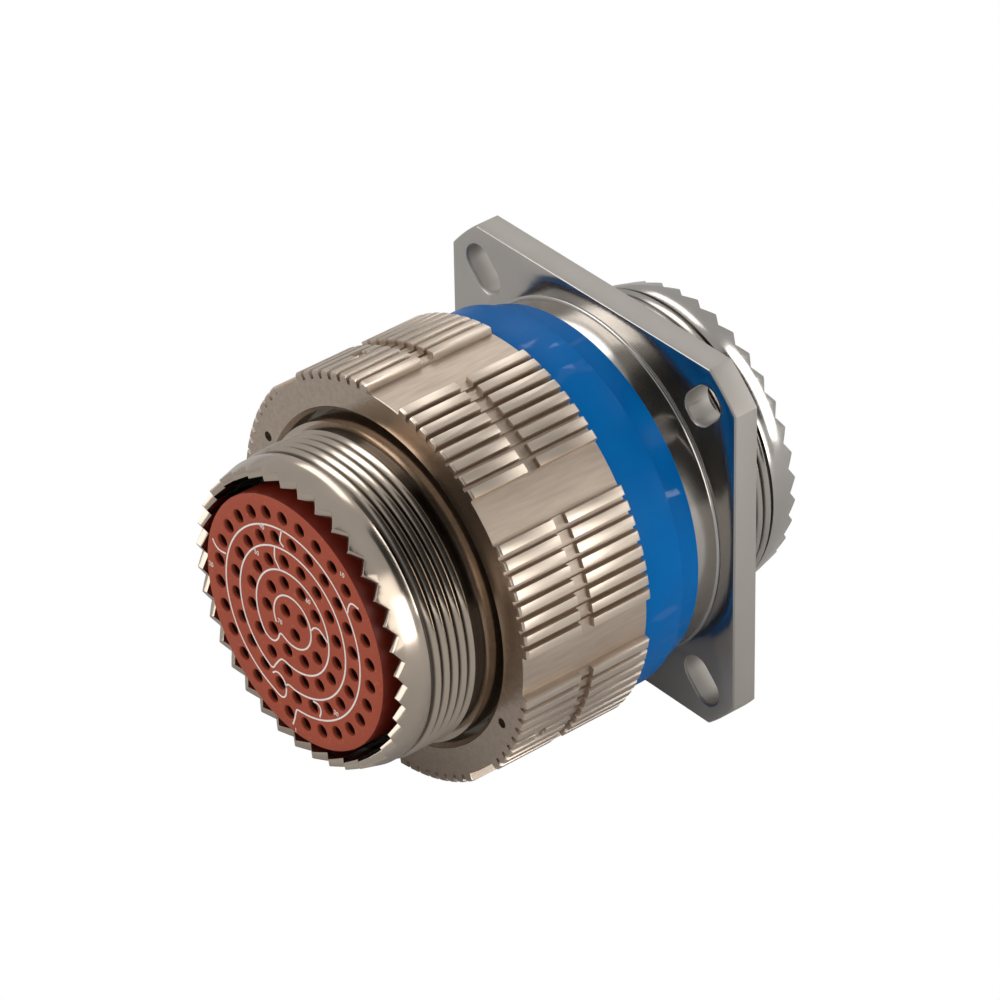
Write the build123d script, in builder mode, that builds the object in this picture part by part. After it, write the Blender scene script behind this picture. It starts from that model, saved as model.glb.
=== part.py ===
"""Square-flange circular connector, mated: a plug with a ribbed coupling nut on a flange receptacle.

Millimetres, +Z up. The connector axis is Y. The panel face of the square flange lies at Y = 0,
and the plug reaches towards -Y. Angles are counted from +X towards +Z.
"""
from math import acos, copysign, cos, degrees, radians, sin, sqrt

from build123d import *

# Flange and hub of the receptacle
flange_size = 39.7
flange_thickness = 2.66
flange_turned_radius = 25.7
flange_edge = 0.15
slot_offset = 15.4
slot_width = 3.25
slot_length = 5.0
slot_edge = 0.2
hub_radius = 17.7
hub_length = 3.54

# Coupling between the receptacle and the nut: the barrel at the root of its thread
coupling_root_radius = 16.9
coupling_thread_length = 14.7

# Barrel that carries a cable clamp, alike at both ends: threaded, with a smooth band and teeth at its tip.
# Where it leaves the flange, a low shoulder stands just proud of the thread, so a panel's hole clears both.
barrel_root_radius = 14.9
thread_height = 0.6
thread_pitch = 1.0
barrel_band_radius = 15.2
barrel_tip_radius = 14.65
barrel_bore_radius = 13.95
band_length = 1.0
cone_length = 2.24
tooth_count = 36
tooth_depth = 0.84
first_tooth_angle = 6.3
shoulder_height = 0.1
shoulder_length = 0.25
receptacle_thread_length = 6.18
plug_thread_length = 5.9

# Sliding fit of the plug in the receptacle, with its keys
plug_barrel_radius = 15.2
mating_clearance = 0.08
mating_bore_depth = 13.9
plug_end_gap = 0.6
key_height = 0.55
key_length = 8.4
key_setback = 0.6
main_key_width = 3.0
minor_key_width = 1.6
main_key_angle = 90.0
minor_key_turns = (80.0, 142.0, 196.0, 293.0)

# Flange and collar of the plug, and the detent ring whose notches the click springs ride on
plug_flange_radius = 17.42
plug_flange_length = 1.1
collar_radius = 15.9
collar_length = 4.56
detent_length = 1.2
notch_count = 36
notch_depth = 0.35
notch_width = 1.2

# Coupling nut: two painted bands, then eight groups of ribs
nut_gap = 3.08
front_band_radius = 18.3
middle_band_radius = 19.27
middle_band_length = 4.65
land_radius = 19.6
rib_height = 0.81
rib_length = 14.69
rib_base_width = 1.06
rib_top_width = 0.89
ribs_per_group = 8
rib_pitch_angle = 4.15
group_count = 8
first_group_angle = 20.7
rib_end_edge = 0.2
crosscut_height = 0.27
crosscut_width = 1.46
crosscut_from_rear = 6.4
skirt_clearance = 0.1
skirt_depth = 0.76
nut_bore_clearance = 0.08
nut_rear_bore_radius = 16.5
nut_rear_wall = 2.36
nut_rear_chamfer = 0.44
face_hole_radius = 0.5
face_hole_depth = 1.1
face_hole_circle = 18.05
face_hole_angle = 156.2

# Click springs, their pins, the nut's snap ring and the thrust washer
spring_recess_radius = 18.5
spring_recess_length = 2.6
spring_thickness = 0.25
spring_curve_radius = 13.0
spring_side_clearance = 0.05
click_pin_radius = 0.65
click_pin_clearance = 0.05
click_pin_sink = 0.3
click_pins = ((113.0, 1.9), (-26.0, 0.6), (-137.0, 1.25))
washer_thickness = 1.0
washer_width = 1.1
running_clearance = 0.1
snap_ring_depth = 0.4
snap_ring_width = 1.3
snap_ring_thickness = 0.7
snap_ring_gap = 3.0
snap_ring_clearance = 0.05
snap_ring_setback = 0.15

# Seal and grounding band on the plug barrel
seal_length = 1.15
seal_height = 1.1
seal_clearance = 0.05
band_spring_length = 3.0
band_spring_depth = 0.45
band_spring_setback = 0.4
band_spring_slots = 24
band_slot_width = 0.5
band_slot_length = 2.2
fit_clearance = 0.05

# Inserts, contacts and grommets
insert_radius = 13.6
insert_recess = 1.45
interface_seal_thickness = 0.8
retention_plate_thickness = 2.4
face_gap = 0.05
grommet_seat_depth = 7.1
grommet_radius = 12.72
grommet_proud = 0.29
grommet_hole_radius = 0.72
grommet_hole_depth = 4.0
insert_ring_thickness = 1.2
insert_ring_inner_radius = 12.85
contact_sides = 6
pin_radius = 0.4
pin_reach = 5.5
contact_clearance = 0.03
socket_radius = 0.62
socket_bore_clearance = 0.06
socket_setback = 0.75
socket_bottom_gap = 0.9

# Rings of the contact pattern: number of contacts, radius of the ring, angle of its first contact
contact_rings = ((28, 10.88, 6.1), (22, 8.5, 7.8), (16, 6.2, 10.7), (10, 3.92, 0.6), (3, 1.41, 33.0))

# How far the shape that makes a cut runs on past the material
cutter_reach = 1.0

# Places along Y that follow from the sizes above
flange_front = -flange_thickness
hub_front = flange_front - hub_length
receptacle_front = hub_front - coupling_thread_length
mating_floor = receptacle_front + mating_bore_depth
receptacle_band = shoulder_length + receptacle_thread_length
receptacle_cone = receptacle_band + band_length
receptacle_tip = receptacle_cone + cone_length
receptacle_seat = receptacle_tip - grommet_seat_depth

plug_front = mating_floor - plug_end_gap
key_front = plug_front - key_setback
key_rear = key_front - key_length
band_spring_front = key_rear - band_spring_setback
band_spring_rear = band_spring_front - band_spring_length
seal_front = receptacle_front - seal_clearance
plug_flange_front = seal_front - seal_length
plug_flange_rear = plug_flange_front - plug_flange_length
detent_rear = plug_flange_rear - detent_length
collar_rear = detent_rear - collar_length
plug_band = collar_rear - plug_thread_length
plug_cone = plug_band - band_length
plug_tip = plug_cone - cone_length
plug_seat = plug_tip + grommet_seat_depth

nut_front = flange_front - nut_gap
skirt_floor = nut_front - skirt_depth
nut_wall_front = detent_rear - washer_thickness - running_clearance
nut_rear = nut_wall_front - nut_rear_wall
rib_front = nut_rear + rib_length
middle_band_front = rib_front + middle_band_length
crosscut_rear = nut_rear + crosscut_from_rear
spring_recess_front = nut_wall_front + spring_recess_length
snap_ring_rear = plug_flange_front + snap_ring_setback
snap_ring_front = snap_ring_rear + snap_ring_thickness

plug_insert_face = plug_front - insert_recess
plug_plate_front = plug_seat + retention_plate_thickness
interface_seal_face = plug_insert_face + face_gap
pin_insert_face = interface_seal_face + interface_seal_thickness
receptacle_plate_front = receptacle_seat - retention_plate_thickness
pin_tip = interface_seal_face - pin_reach
socket_front = plug_insert_face - socket_setback
socket_floor = pin_tip - socket_bottom_gap

# Radii that follow from the sizes above
thread_crest_radius = barrel_root_radius + thread_height
shoulder_radius = thread_crest_radius + shoulder_height
rib_radius = land_radius + rib_height
crosscut_radius = land_radius + crosscut_height
mating_bore_radius = plug_barrel_radius + mating_clearance
nut_bore_radius = plug_flange_radius + nut_bore_clearance
insert_bore_radius = insert_radius + fit_clearance
band_spring_floor = plug_barrel_radius - band_spring_depth
snap_ring_outer = nut_bore_radius + snap_ring_depth


def at(y, angle=0.0):
    """Plane across the axis at the given Y: it faces -Y, and its first axis points out at an angle."""
    outwards = Vector(cos(radians(angle)), 0, sin(radians(angle)))
    return Plane(origin=(0, y, 0), x_dir=outwards, z_dir=(0, -1, 0))


def radial_plane(angle, y, radius=0.0):
    """Plane that faces outwards at an angle, with its own first axis round the connector."""
    outwards = Vector(cos(radians(angle)), 0, sin(radians(angle)))
    around = Vector(-sin(radians(angle)), 0, cos(radians(angle)))
    return Plane(origin=outwards * radius + Vector(0, y, 0), x_dir=around, z_dir=outwards)


def turn(*points, mode=Mode.ADD):
    """Revolve a closed outline of (radius, Y) points about the connector axis."""
    with BuildSketch(Plane.XY) as section:
        with BuildLine():
            Polyline(*points, close=True)
        make_face()
    revolve(section.sketch, axis=Axis.Y, mode=mode)


def ring_section(inner, outer, front, rear):
    """Corners of a plain rectangular ring section."""
    return (inner, front), (outer, front), (outer, rear), (inner, rear)


def key_outline(clearance):
    """The five keys seen along the axis, or their keyways when a clearance is given."""
    turns = [(0.0, main_key_width)] + [(angle, minor_key_width) for angle in minor_key_turns]
    for angle, width in turns:
        with PolarLocations(plug_barrel_radius, 1, start_angle=main_key_angle + angle):
            Rectangle(2 * (key_height + clearance), width + 2 * clearance)


def thread_outline(start, end):
    """Outline of an accessory thread between two places along Y: one sharp ring for each pitch that fits."""
    ring_count = int(abs(end - start) / thread_pitch)
    step = copysign(thread_pitch, end - start)
    first_root = (start + end - ring_count * step) / 2
    roots = [(barrel_root_radius, first_root + ring * step) for ring in range(ring_count + 1)]
    crests = [(thread_crest_radius, first_root + (ring + 0.5) * step) for ring in range(ring_count)]
    rings = [corner for pair in zip(roots, crests) for corner in pair]
    return [(barrel_root_radius, start), *rings, roots[-1], (barrel_root_radius, end)]


def cut_teeth(tip, direction):
    """Cut the V notches round the end of a barrel; direction is +1 or -1 along Y at the tips."""
    pitch = 360 / tooth_count
    half_width = barrel_bore_radius * radians(pitch) / 2
    notches = [first_tooth_angle + pitch * (step + 0.5) for step in range(tooth_count)]
    inner = barrel_bore_radius - cutter_reach
    with BuildSketch(*[radial_plane(angle, tip, inner) for angle in notches]) as outline:
        with BuildLine():
            # The plane's second axis points along -Y
            Polyline((-half_width, 0), (half_width, 0), (0, direction * tooth_depth), close=True)
        make_face()
    extrude(outline.sketch, amount=barrel_band_radius + cutter_reach - inner, mode=Mode.SUBTRACT)


def contact_outline(radius, mode=Mode.ADD):
    """One small polygon in the current sketch for each contact of the pattern."""
    for count, ring_radius, first_angle in contact_rings:
        with PolarLocations(ring_radius, count, start_angle=first_angle):
            RegularPolygon(radius, contact_sides, mode=mode)


# Receptacle shell: square flange with diagonal slots, hub, threaded front barrel and toothed rear barrel
with BuildPart() as receptacle_shell:
    with BuildSketch(at(0)):
        Rectangle(flange_size, flange_size)
        Circle(flange_turned_radius, mode=Mode.INTERSECT)
    extrude(amount=flange_thickness)
    chamfer(faces().sort_by(Axis.Y)[0].edges(), flange_edge)
    with BuildSketch(at(0)):
        with PolarLocations(slot_offset * sqrt(2), 4, start_angle=45):
            SlotOverall(slot_length, slot_width)
    extrude(amount=flange_thickness, mode=Mode.SUBTRACT)
    chamfer(faces().sort_by(Axis.Y)[0].inner_wires().edges(), slot_edge)
    turn(
        (insert_bore_radius, flange_front),
        (hub_radius, flange_front),
        (hub_radius, hub_front),
        (coupling_root_radius, hub_front),
        (coupling_root_radius, receptacle_front),
        (mating_bore_radius, receptacle_front),
        (mating_bore_radius, mating_floor),
        (insert_bore_radius, mating_floor),
    )
    turn(
        (insert_bore_radius, 0),
        (shoulder_radius, 0),
        (shoulder_radius, shoulder_length),
        *thread_outline(shoulder_length, receptacle_band),
        (barrel_band_radius, receptacle_band),
        (barrel_band_radius, receptacle_cone),
        (barrel_tip_radius, receptacle_tip),
        (barrel_bore_radius, receptacle_tip),
        (barrel_bore_radius, receptacle_seat),
        (insert_bore_radius, receptacle_seat),
    )
    turn((0, flange_front), (insert_bore_radius, flange_front), (insert_bore_radius, 0), (0, 0),
         mode=Mode.SUBTRACT)
    with BuildSketch(at(mating_floor)):
        key_outline(mating_clearance)
    extrude(amount=mating_bore_depth, mode=Mode.SUBTRACT)
    cut_teeth(receptacle_tip, 1)
receptacle_shell.part.label = "receptacle_shell"
export_step(receptacle_shell.part, "parts/receptacle_shell.step")

# Plug shell: keyed front barrel, notched flange, collar and toothed rear barrel
with BuildPart() as plug_shell:
    turn(
        (insert_bore_radius, plug_front),
        (plug_barrel_radius, plug_front),
        (plug_barrel_radius, band_spring_front),
        (band_spring_floor, band_spring_front),
        (band_spring_floor, band_spring_rear),
        (plug_barrel_radius, band_spring_rear),
        (plug_barrel_radius, plug_flange_front),
        (plug_flange_radius, plug_flange_front),
        (plug_flange_radius, plug_flange_rear),
        (collar_radius, plug_flange_rear),
        (collar_radius, collar_rear),
        *thread_outline(collar_rear, plug_band),
        (barrel_band_radius, plug_band),
        (barrel_band_radius, plug_cone),
        (barrel_tip_radius, plug_tip),
        (barrel_bore_radius, plug_tip),
        (barrel_bore_radius, plug_seat),
        (insert_bore_radius, plug_seat),
    )
    with BuildSketch(at(key_front)):
        key_outline(0)
        Circle(insert_bore_radius, mode=Mode.SUBTRACT)
    extrude(amount=key_length)
    cut_teeth(plug_tip, -1)
plug_shell.part.label = "plug_shell"
export_step(plug_shell.part, "parts/plug_shell.step")

# Detent ring pressed onto the collar, behind the flange
with BuildPart() as detent_ring:
    notch_slope = notch_width / 2 / notch_depth
    notch_half_width = (cutter_reach + notch_depth) * notch_slope
    notch = ((-notch_depth, 0), (cutter_reach, notch_half_width), (cutter_reach, -notch_half_width))
    with BuildSketch(at(plug_flange_rear)):
        Circle(plug_flange_radius)
        Circle(collar_radius + fit_clearance, mode=Mode.SUBTRACT)
        with PolarLocations(plug_flange_radius, notch_count):
            Polygon(*notch, align=None, mode=Mode.SUBTRACT)
    extrude(amount=detent_length)
detent_ring.part.label = "detent_ring"
export_step(detent_ring.part, "parts/detent_ring.step")

# Coupling nut: turned body, two bands, eight groups of ribs with plain lands between the groups
with BuildPart() as coupling_nut:
    rib_outline = (
        (land_radius - rib_height / 2, -rib_base_width / 2),
        (land_radius, -rib_base_width / 2),
        (rib_radius, -rib_top_width / 2),
        (rib_radius, rib_top_width / 2),
        (land_radius, rib_base_width / 2),
        (land_radius - rib_height / 2, rib_base_width / 2),
    )
    middle_rib = (ribs_per_group - 1) / 2
    rib_angles = [first_group_angle + 360 / group_count * group + rib_pitch_angle * (rib - middle_rib)
                  for group in range(group_count) for rib in range(ribs_per_group)]
    with BuildSketch(at(rib_front)):
        Circle(land_radius)
        with Locations([Location((0, 0, 0), (0, 0, angle)) for angle in rib_angles]):
            Polygon(*rib_outline, align=None)
    extrude(amount=rib_length)
    beyond = rib_radius + cutter_reach
    turn((rib_radius - rib_end_edge, rib_front), (beyond, rib_front), (beyond, rib_front - cutter_reach),
         (rib_radius - rib_end_edge + cutter_reach, rib_front - cutter_reach), mode=Mode.SUBTRACT)
    turn((rib_radius - rib_end_edge, nut_rear), (beyond, nut_rear), (beyond, nut_rear + cutter_reach),
         (rib_radius - rib_end_edge + cutter_reach, nut_rear + cutter_reach), mode=Mode.SUBTRACT)
    turn(*ring_section(crosscut_radius, beyond, crosscut_rear + crosscut_width, crosscut_rear),
         mode=Mode.SUBTRACT)
    turn((0, nut_front), (front_band_radius, nut_front), (front_band_radius, middle_band_front),
         (middle_band_radius, middle_band_front), (middle_band_radius, rib_front), (0, rib_front))
    turn(
        (0, nut_front),
        (hub_radius + skirt_clearance, nut_front),
        (hub_radius + skirt_clearance, skirt_floor),
        (nut_bore_radius, skirt_floor),
        (nut_bore_radius, snap_ring_front),
        (snap_ring_outer, snap_ring_front),
        (snap_ring_outer, snap_ring_rear),
        (nut_bore_radius, snap_ring_rear),
        (nut_bore_radius, spring_recess_front),
        (spring_recess_radius, spring_recess_front),
        (spring_recess_radius, nut_wall_front),
        (nut_rear_bore_radius, nut_wall_front),
        (nut_rear_bore_radius, nut_rear + nut_rear_chamfer),
        (nut_rear_bore_radius + nut_rear_chamfer, nut_rear),
        (0, nut_rear),
        mode=Mode.SUBTRACT,
    )
    hole_depth = beyond - nut_bore_radius
    for angle, from_wall in click_pins:
        with BuildSketch(radial_plane(angle, nut_wall_front + from_wall, nut_bore_radius)) as pin_hole:
            Circle(click_pin_radius + click_pin_clearance)
        extrude(pin_hole.sketch, amount=hole_depth, mode=Mode.SUBTRACT)
    with BuildSketch(at(nut_rear + face_hole_depth)):
        with PolarLocations(face_hole_circle, 2, start_angle=face_hole_angle):
            Circle(face_hole_radius)
    extrude(amount=face_hole_depth, mode=Mode.SUBTRACT)
coupling_nut.part.label = "coupling_nut"
export_step(coupling_nut.part, "parts/coupling_nut.step")

# Snap ring that holds the nut on the plug flange, split so that it can be closed into its groove
with BuildPart() as nut_snap_ring:
    snap_ring_edge = snap_ring_outer - snap_ring_clearance
    turn(*ring_section(snap_ring_edge - snap_ring_width, snap_ring_edge,
                       snap_ring_front - snap_ring_clearance, snap_ring_rear + snap_ring_clearance))
    with BuildSketch(at(snap_ring_front)):
        with Locations((0, -snap_ring_outer)):
            Rectangle(snap_ring_gap, 2 * snap_ring_width + snap_ring_gap)
    extrude(amount=snap_ring_thickness, mode=Mode.SUBTRACT)
nut_snap_ring.part.label = "nut_snap_ring"
export_step(nut_snap_ring.part, "parts/nut_snap_ring.step")

# Three bowed leaf springs in the nut that click over the notches, each held in its middle by a pin
with BuildPart() as click_springs:
    leaf_centre = spring_recess_radius - spring_side_clearance - spring_curve_radius
    leaf_inner = spring_curve_radius - spring_thickness
    tip_radius = nut_bore_radius
    leaf_half_angle = degrees(
        acos((tip_radius**2 - leaf_centre**2 - leaf_inner**2) / (2 * leaf_centre * leaf_inner)))
    leaf_front = spring_recess_front - spring_side_clearance
    leaf_planes = [at(leaf_front, angle) for angle, _ in click_pins]
    with BuildSketch(*leaf_planes) as leaf:
        with BuildLine():
            bow = CenterArc((leaf_centre, 0), spring_curve_radius, -leaf_half_angle, 2 * leaf_half_angle)
            hollow = CenterArc((leaf_centre, 0), leaf_inner, -leaf_half_angle, 2 * leaf_half_angle)
            Line(bow @ 0, hollow @ 0)
            Line(bow @ 1, hollow @ 1)
        make_face()
    extrude(amount=spring_recess_length - 2 * spring_side_clearance)
click_springs.part.label = "click_springs"
export_step(click_springs.part, "parts/click_springs.step")

# Three pins through the nut wall, seated on the middle of the springs and sunk below the ribs
with BuildPart() as click_pins_set:
    pin_seat = spring_recess_radius - spring_side_clearance
    for angle, from_wall in click_pins:
        with BuildSketch(radial_plane(angle, nut_wall_front + from_wall, pin_seat)) as pin_outline:
            Circle(click_pin_radius)
        extrude(pin_outline.sketch, amount=rib_radius - click_pin_sink - pin_seat)
click_pins_set.part.label = "click_pins"
export_step(click_pins_set.part, "parts/click_pins.step")

# Thrust washer between the detent ring and the rear wall of the nut
with BuildPart() as thrust_washer:
    washer_inner = collar_radius + fit_clearance
    turn(*ring_section(washer_inner, washer_inner + washer_width, detent_rear,
                       detent_rear - washer_thickness))
thrust_washer.part.label = "thrust_washer"
export_step(thrust_washer.part, "parts/thrust_washer.step")

# Soft seal that the end of the receptacle closes against
with BuildPart() as shell_seal:
    seal_inner = plug_barrel_radius + fit_clearance
    turn(*ring_section(seal_inner, seal_inner + seal_height, seal_front, plug_flange_front))
shell_seal.part.label = "shell_seal"
export_step(shell_seal.part, "parts/shell_seal.step")

# Grounding band of spring fingers in the groove of the plug barrel
with BuildPart() as grounding_band:
    band_inner = band_spring_floor + fit_clearance
    band_outer = plug_barrel_radius + fit_clearance
    band_rise = band_outer - band_inner
    turn(
        (band_inner, band_spring_front - fit_clearance),
        (band_inner + band_rise / 2, band_spring_front - fit_clearance),
        (band_outer, (band_spring_front + band_spring_rear) / 2),
        (band_inner + band_rise / 2, band_spring_rear + fit_clearance),
        (band_inner, band_spring_rear + fit_clearance),
    )
    with BuildSketch(at(band_spring_front)):
        with PolarLocations(plug_barrel_radius, band_spring_slots):
            Rectangle(2 * band_spring_depth + cutter_reach, band_slot_width)
    extrude(amount=band_slot_length, mode=Mode.SUBTRACT)
grounding_band.part.label = "grounding_band"
export_step(grounding_band.part, "parts/grounding_band.step")


def make_contact_disc(name, high, low, hole_radius):
    """Disc between two places along Y, bonded into its shell, with a hole for each contact."""
    with BuildPart() as disc:
        with BuildSketch(at(high)):
            Circle(insert_radius)
            contact_outline(hole_radius, Mode.SUBTRACT)
        extrude(amount=high - low)
    disc.part.label = name
    export_step(disc.part, f"parts/{name}.step")


def make_grommet(name, seat, tip):
    """Soft wire grommet on the insert: it stands a little proud of the teeth, its holes open outwards."""
    side = 1 if tip > seat else -1
    face = tip + side * grommet_proud
    with BuildPart() as grommet:
        with BuildSketch(at(seat)):
            Circle(grommet_radius)
        extrude(amount=seat - face)
        with BuildSketch(at(face)):
            contact_outline(grommet_hole_radius)
        extrude(amount=side * grommet_hole_depth, mode=Mode.SUBTRACT)
    grommet.part.label = name
    export_step(grommet.part, f"parts/{name}.step")


def make_insert_ring(name, seat, side):
    """Ring bonded into the rear bore, against the shoulder and the insert."""
    with BuildPart() as ring:
        turn(*ring_section(insert_ring_inner_radius, barrel_bore_radius - fit_clearance, seat,
                           seat + side * insert_ring_thickness))
    ring.part.label = name
    export_step(ring.part, f"parts/{name}.step")


# Receptacle from the back forwards: plate that retains the pins, insert, and soft seal between the halves
pin_hole_radius = pin_radius + contact_clearance
make_contact_disc("receptacle_retention_plate", receptacle_seat, receptacle_plate_front, pin_hole_radius)
make_contact_disc("receptacle_insert", receptacle_plate_front, pin_insert_face, pin_hole_radius)
make_contact_disc("interface_seal", pin_insert_face, interface_seal_face, pin_hole_radius)

# Insert of the plug, and the plate behind it that retains the sockets
socket_hole_radius = socket_radius + contact_clearance
make_contact_disc("plug_insert", plug_insert_face, plug_plate_front, socket_hole_radius)
make_contact_disc("plug_retention_plate", plug_plate_front, plug_seat, socket_hole_radius)

make_insert_ring("receptacle_insert_ring", receptacle_seat, 1)
make_insert_ring("plug_insert_ring", plug_seat, -1)
make_grommet("receptacle_grommet", receptacle_seat, receptacle_tip)
make_grommet("plug_grommet", plug_seat, plug_tip)

# Pin contacts of the receptacle, from the back of its retention plate to their tips inside the sockets
with BuildPart() as pin_contacts:
    with BuildSketch(at(receptacle_seat)):
        contact_outline(pin_radius)
    extrude(amount=receptacle_seat - pin_tip)
pin_contacts.part.label = "pin_contacts"
export_step(pin_contacts.part, "parts/pin_contacts.step")

# Socket contacts of the plug, bored from the front for the pins
with BuildPart() as socket_contacts:
    with BuildSketch(at(socket_front)):
        contact_outline(socket_radius)
        contact_outline(pin_radius + socket_bore_clearance, Mode.SUBTRACT)
    extrude(amount=socket_front - socket_floor)
    with BuildSketch(at(socket_floor)):
        contact_outline(socket_radius)
    extrude(amount=socket_floor - plug_seat)
socket_contacts.part.label = "socket_contacts"
export_step(socket_contacts.part, "parts/socket_contacts.step")
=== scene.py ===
# %% [markdown]
# A mated circular connector, finished in Blender. The solids come from the CAD frame, already in place
# and in metres: a polished receptacle with a square flange, a coupling nut with two blue bands and groups
# of ribs, and a plug whose toothed barrel holds a terracotta grommet full of contact holes. This script
# adds what the solids leave out, such as screw threads, paint, round holes and guide lines, and gives
# each surface its finish.

from math import ceil, cos, hypot, pi, radians, sin, tan

import bmesh
import bpy
from mathutils import Matrix, Vector


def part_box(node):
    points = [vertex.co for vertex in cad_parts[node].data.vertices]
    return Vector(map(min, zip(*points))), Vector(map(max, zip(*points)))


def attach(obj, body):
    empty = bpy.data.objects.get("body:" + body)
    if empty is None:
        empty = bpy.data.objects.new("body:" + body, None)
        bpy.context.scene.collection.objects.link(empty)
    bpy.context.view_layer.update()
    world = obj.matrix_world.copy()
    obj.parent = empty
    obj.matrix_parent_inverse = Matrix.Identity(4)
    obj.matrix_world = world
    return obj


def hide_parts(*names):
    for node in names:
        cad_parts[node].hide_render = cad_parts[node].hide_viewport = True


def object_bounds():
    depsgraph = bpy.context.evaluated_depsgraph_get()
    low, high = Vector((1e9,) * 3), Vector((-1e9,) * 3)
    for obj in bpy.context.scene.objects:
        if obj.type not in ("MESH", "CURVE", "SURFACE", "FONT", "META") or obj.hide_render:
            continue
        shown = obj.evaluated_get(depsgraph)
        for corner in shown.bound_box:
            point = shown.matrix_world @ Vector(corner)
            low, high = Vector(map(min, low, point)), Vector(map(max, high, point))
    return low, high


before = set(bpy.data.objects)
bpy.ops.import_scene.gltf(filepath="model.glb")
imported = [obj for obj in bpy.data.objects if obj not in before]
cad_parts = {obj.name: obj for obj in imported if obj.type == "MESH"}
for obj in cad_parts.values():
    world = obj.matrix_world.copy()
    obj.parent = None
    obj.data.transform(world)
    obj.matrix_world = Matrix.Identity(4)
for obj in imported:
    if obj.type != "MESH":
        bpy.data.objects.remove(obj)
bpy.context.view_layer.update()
MM = 0.001

# %% [markdown]
# The connector axis is Y. Sizes that the threads, paint and grommets need are read from the solids where
# a box can give them, and the rest are real sizes in millimetres. Radii are from the axis, and the two
# thread zones are the stretches of Y where the rear barrels carry their thread rings.

# %% Sizes shared by the pieces
AXIS = Vector((0, 1, 0))
nut_low, nut_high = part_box("coupling_nut")
shell_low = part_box("receptacle_shell")[0]
plug_face_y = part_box("plug_grommet")[0].y
receptacle_face_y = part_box("receptacle_grommet")[1].y

COUPLING_ROOT = 16.9 * MM
COUPLING_CREST = 17.46 * MM
COUPLING_LEAD = 7.62 * MM
COUPLING_STARTS = 3

HUB_FRONT = -6.2 * MM
HUB_RADIUS = 17.7 * MM
FLANGE_FRONT = -2.66 * MM
THREAD_CREST = 15.5 * MM
THREAD_ZONES = ((-34.86 * MM, -28.96 * MM), (0.25 * MM, 6.43 * MM))

SKIRT_BORE = 17.95 * MM
FRONT_BAND = 18.3 * MM
MIDDLE_BAND = 19.27 * MM
MIDDLE_BAND_LENGTH = 4.65 * MM
RIB_LENGTH = 14.69 * MM
RIB_TOP = 20.2 * MM

# %% [markdown]
# The camera stands where the photograph was taken from. It was found by fitting the flange corners, the
# rims and the contact holes, so its place is given as angles, a distance and a small roll.

# %% Camera
VIEW_AZIMUTH = radians(50.336)
VIEW_ELEVATION = radians(34.661)
VIEW_ROLL = radians(-1.068)
VIEW_DISTANCE = 591.73 * MM
VIEW_ASIDE = -8.606 * MM
VIEW_UP = -2.363 * MM
VIEW_TARGET = Vector((0, -2.66 * MM, 0))
FOCAL_PIXELS = 6332.2
FRAME_PIXELS = 1000
SENSOR_WIDTH = 36

back = Vector((
    sin(VIEW_AZIMUTH) * cos(VIEW_ELEVATION),
    -cos(VIEW_AZIMUTH) * cos(VIEW_ELEVATION),
    sin(VIEW_ELEVATION),
))
level_right = Vector((cos(VIEW_AZIMUTH), sin(VIEW_AZIMUTH), 0))
level_up = back.cross(level_right)
right = level_right * cos(VIEW_ROLL) + level_up * sin(VIEW_ROLL)
up = level_up * cos(VIEW_ROLL) - level_right * sin(VIEW_ROLL)

camera_data = bpy.data.cameras.new("camera")
camera_data.sensor_width = SENSOR_WIDTH
camera_data.lens = FOCAL_PIXELS / FRAME_PIXELS * SENSOR_WIDTH
camera = bpy.data.objects.new("camera", camera_data)
bpy.context.collection.objects.link(camera)
turn_to_view = Matrix((right, up, back)).transposed().to_4x4()
camera_place = VIEW_TARGET + right * VIEW_ASIDE + up * VIEW_UP + back * VIEW_DISTANCE
camera.matrix_world = Matrix.Translation(camera_place) @ turn_to_view
bpy.context.scene.camera = camera
print("camera", [round(v, 4) for v in camera_place], "lens", round(camera_data.lens, 1))

# %% [markdown]
# Shader maths reads best as plain arithmetic. This small class wraps a node socket, and its operators add
# the Math nodes behind it.

# %% A socket that can be reckoned with
class Value:
    """A number or a colour that varies over a surface, inside one material."""

    def __init__(self, maker, socket):
        self.maker = maker
        self.socket = socket

    def _math(self, operation, other, swap=False):
        pair = (other, self) if swap else (self, other)
        return self.maker.node("ShaderNodeMath", {"operation": operation}, {0: pair[0], 1: pair[1]})

    def __add__(self, other):
        return self._math("ADD", other)

    def __radd__(self, other):
        return self._math("ADD", other, swap=True)

    def __sub__(self, other):
        return self._math("SUBTRACT", other)

    def __rsub__(self, other):
        return self._math("SUBTRACT", other, swap=True)

    def __mul__(self, other):
        return self._math("MULTIPLY", other)

    def __rmul__(self, other):
        return self._math("MULTIPLY", other, swap=True)

    def __truediv__(self, other):
        return self._math("DIVIDE", other)

    def __pow__(self, other):
        return self._math("POWER", other)

    def above(self, edge, soft):
        """0 below the edge, 1 above it, with a soft step."""
        return self.maker.node(
            "ShaderNodeMapRange",
            {"interpolation_type": "SMOOTHSTEP", "clamp": True},
            {"Value": self, "From Min": edge - soft, "From Max": edge + soft},
        )


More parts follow.
